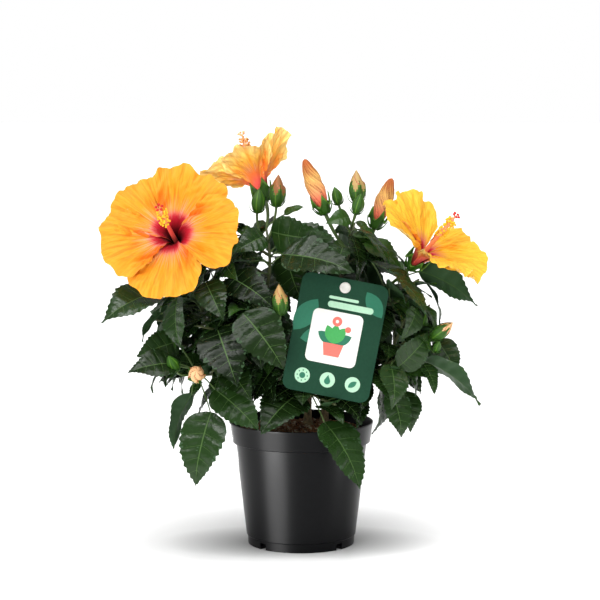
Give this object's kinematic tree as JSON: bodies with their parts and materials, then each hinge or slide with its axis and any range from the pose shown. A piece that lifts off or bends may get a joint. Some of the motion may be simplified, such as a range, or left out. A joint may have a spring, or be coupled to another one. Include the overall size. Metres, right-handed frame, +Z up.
{
  "type": "potted flowering shrub",
  "caption": "Bushy hibiscus shrub with wide open funnel flowers, buds and toothed glossy leaves, in a tapered round nursery pot, with a plain card clipped to a branch.",
  "frame": {"origin": "centre of the pot's flat underside", "axes": "+Z up, -Y towards the viewer of the picture, +X to the viewer's right"},
  "size_m": [0.3349, 0.2419, 0.372],
  "materials": {
    "pot": "satin",
    "mix": "matte",
    "bark": "matte",
    "leaf": "satin",
    "petal": "matte",
    "bud": "matte",
    "card": "satin",
    "pin": "satin"
  },
  "bodies": {
    "root": {"pot": "pot", "potting_mix": "mix", "stem_left": "bark", "stem_middle": "bark", "stem_right": "bark", "bough_left_low": "bark", "bough_left": "bark", "bough_upper_left": "bark", "bough_front_left": "bark", "bough_left_side": "bark", "bough_left_back": "bark", "bough_middle": "bark", "bough_front_low": "bark", "bough_centre_left": "bark", "bough_centre_right": "bark", "bough_back_low": "bark", "bough_right_low": "bark", "bough_right": "bark", "bough_upper_right": "bark", "bough_right_side": "bark", "bough_right_back": "bark", "bough_back": "bark", "bloom_left": "petal", "bloom_top": "petal", "bloom_right": "petal", "tall_bud_middle": "bud", "tall_bud_right": "bud", "foliage_left_low": "leaf", "foliage_left": "leaf", "foliage_upper_left": "leaf", "foliage_front_left": "leaf", "foliage_left_side": "leaf", "foliage_left_back": "leaf", "foliage_middle": "leaf", "foliage_front_low": "leaf", "foliage_centre_left": "leaf", "foliage_centre_right": "leaf", "foliage_back_low": "leaf", "foliage_right_low": "leaf", "foliage_right": "leaf", "foliage_upper_right": "leaf", "foliage_right_side": "leaf", "foliage_right_back": "leaf", "foliage_back": "leaf", "care_card": "card", "card_pin": "pin"}
  },
  "joints": []
}
